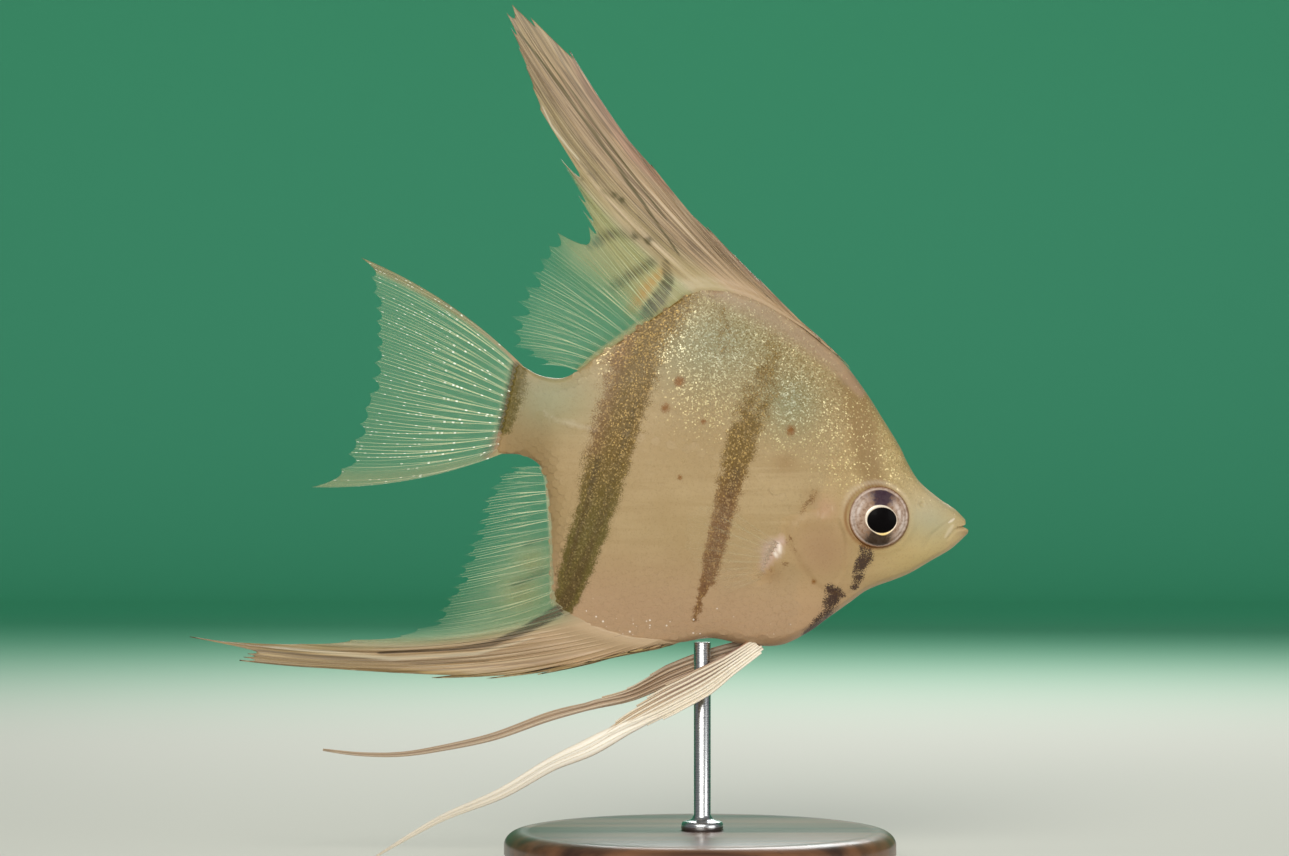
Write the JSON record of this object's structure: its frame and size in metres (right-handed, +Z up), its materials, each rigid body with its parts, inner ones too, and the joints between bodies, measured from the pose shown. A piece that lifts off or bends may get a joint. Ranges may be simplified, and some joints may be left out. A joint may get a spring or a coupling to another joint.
{
  "type": "freshwater angelfish model on a display stand",
  "caption": "Life-size still model of a swimming freshwater angelfish with long spread fins, held nose down over a round base by a short rod.",
  "frame": {"origin": "middle of the underside of the round base", "axes": "+Z up, +X towards the fish's head, -Y towards its right side"},
  "size_m": [0.111, 0.056, 0.123],
  "materials": {
    "skin": "moist scaled skin with a fine golden glitter",
    "fin": "thin rayed membrane, satin",
    "pelvic": "thin rayed membrane, satin",
    "clear_fin": "clear rayed membrane",
    "eye": "wet gloss",
    "base_wood": "satin turned wood",
    "rod_steel": "brushed"
  },
  "bodies": {
    "root": {"head": "skin", "lower_jaw": "skin", "gill_cover_right": "skin", "gill_cover_left": "skin", "trunk": "skin", "tail_stalk": "skin", "dorsal_fin": "fin", "anal_fin": "fin", "caudal_fin": "fin", "pelvic_fin_right": "pelvic", "pelvic_fin_left": "pelvic", "pectoral_fin_right": "clear_fin", "pectoral_fin_left": "clear_fin", "eye_right": "eye", "eye_left": "eye", "stand_base": "base_wood", "stand_rod": "rod_steel"}
  },
  "joints": []
}
